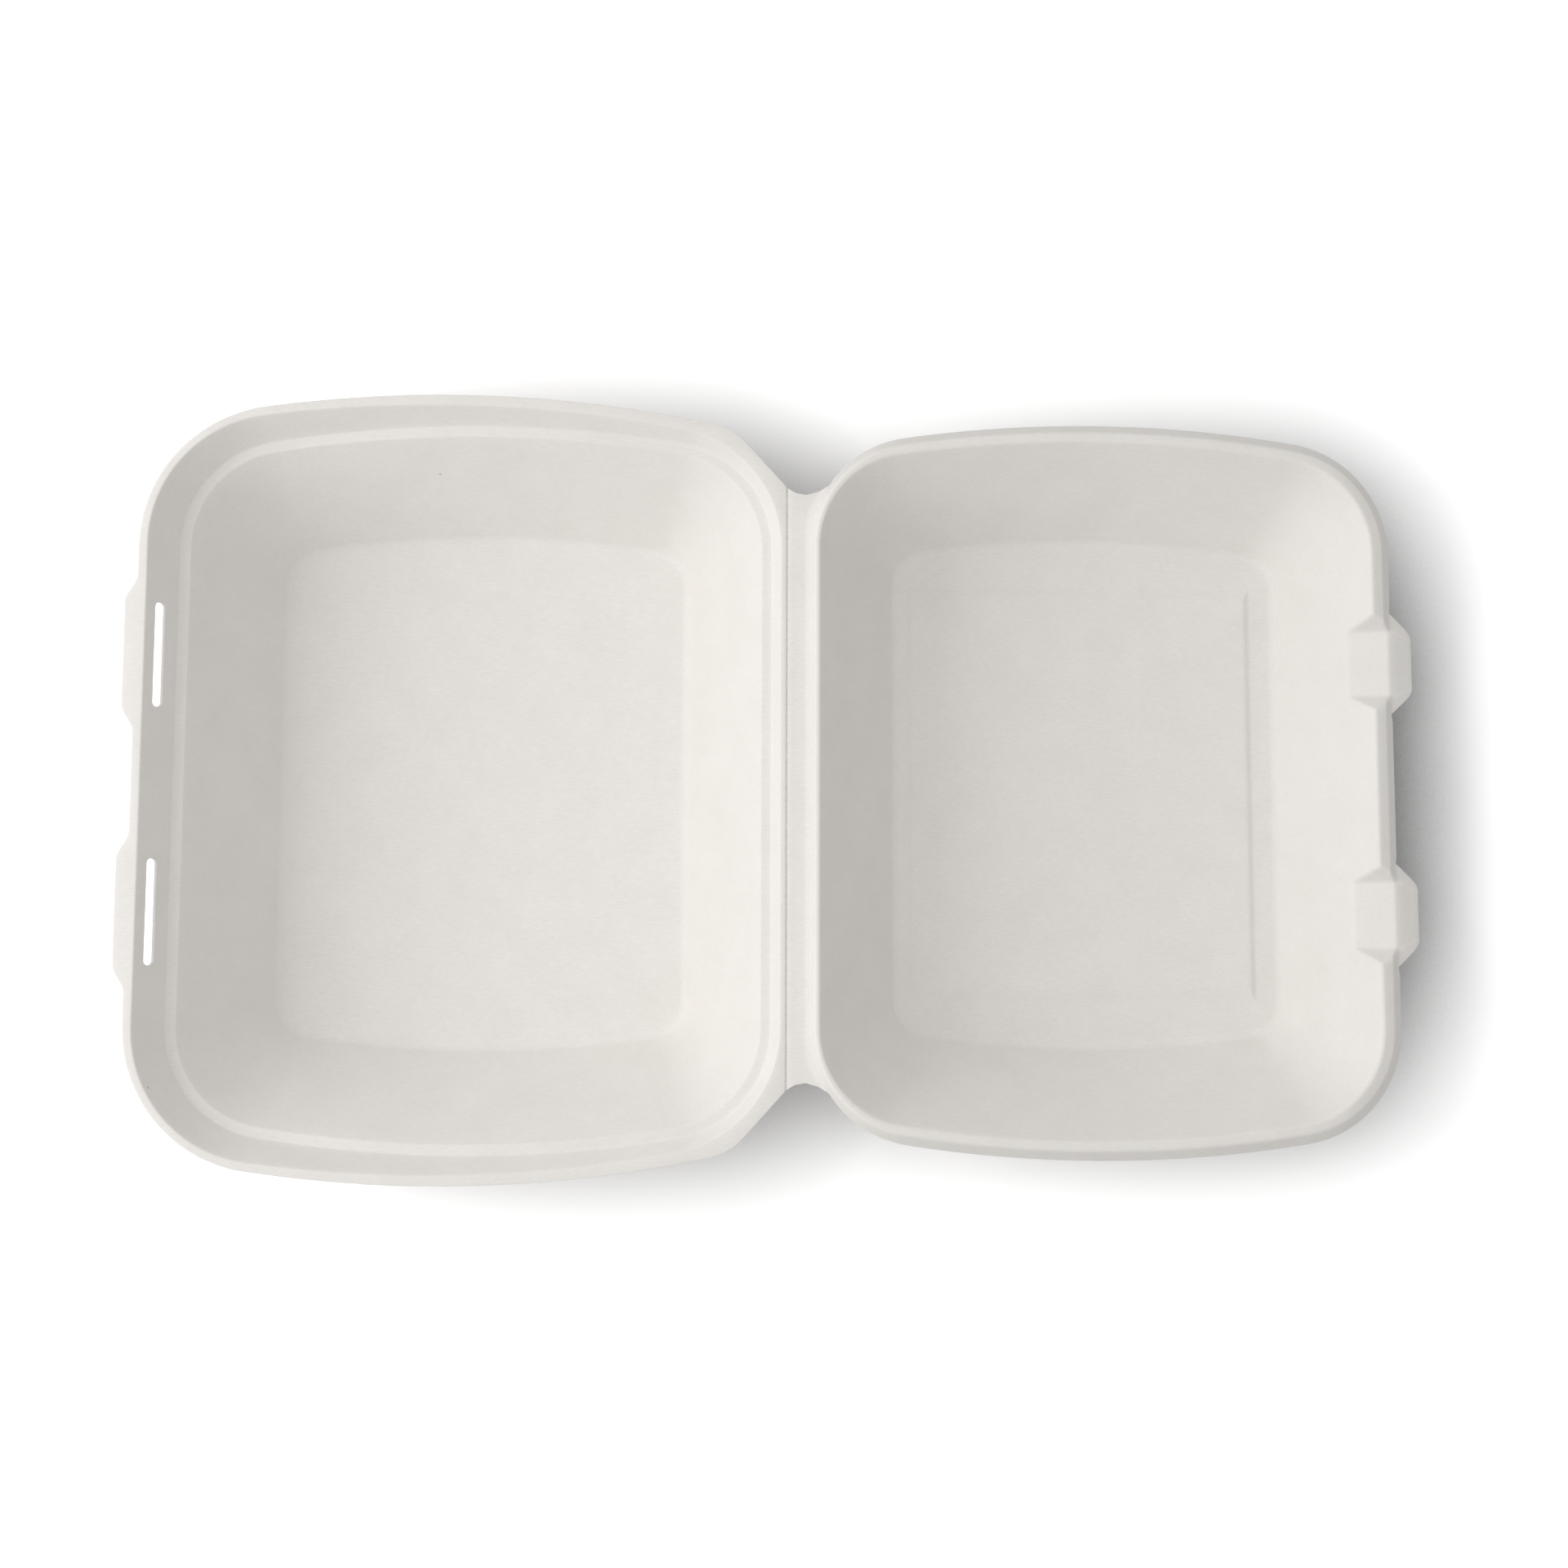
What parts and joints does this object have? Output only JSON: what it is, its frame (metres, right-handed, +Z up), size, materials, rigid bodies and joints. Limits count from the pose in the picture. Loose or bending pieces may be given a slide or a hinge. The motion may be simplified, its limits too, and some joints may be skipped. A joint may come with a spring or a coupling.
{
  "type": "hinged clamshell food container",
  "caption": "Open clamshell meal box pressed from bagasse pulp: deep base tray with a stepped, slotted rim and a hinged lid tray with locking tongues.",
  "frame": {"origin": "middle of the flat underside of the base tray", "axes": "+X from the base across the crease to the open lid, +Y along the crease, +Z up"},
  "size_m": [0.3909, 0.2354, 0.0525],
  "materials": {
    "pulp": "matt off-white pressed bagasse pulp"
  },
  "bodies": {
    "base": {"base": "pulp"},
    "lid": {"lid": "pulp"}
  },
  "joints": [
    {"name": "lid_hinge", "type": "hinge", "parent": "base", "child": "lid", "pos_m": [0.09465, 0, 0.04455], "axis": [0, -1, 0], "range_deg": [0, 183.79]}
  ]
}
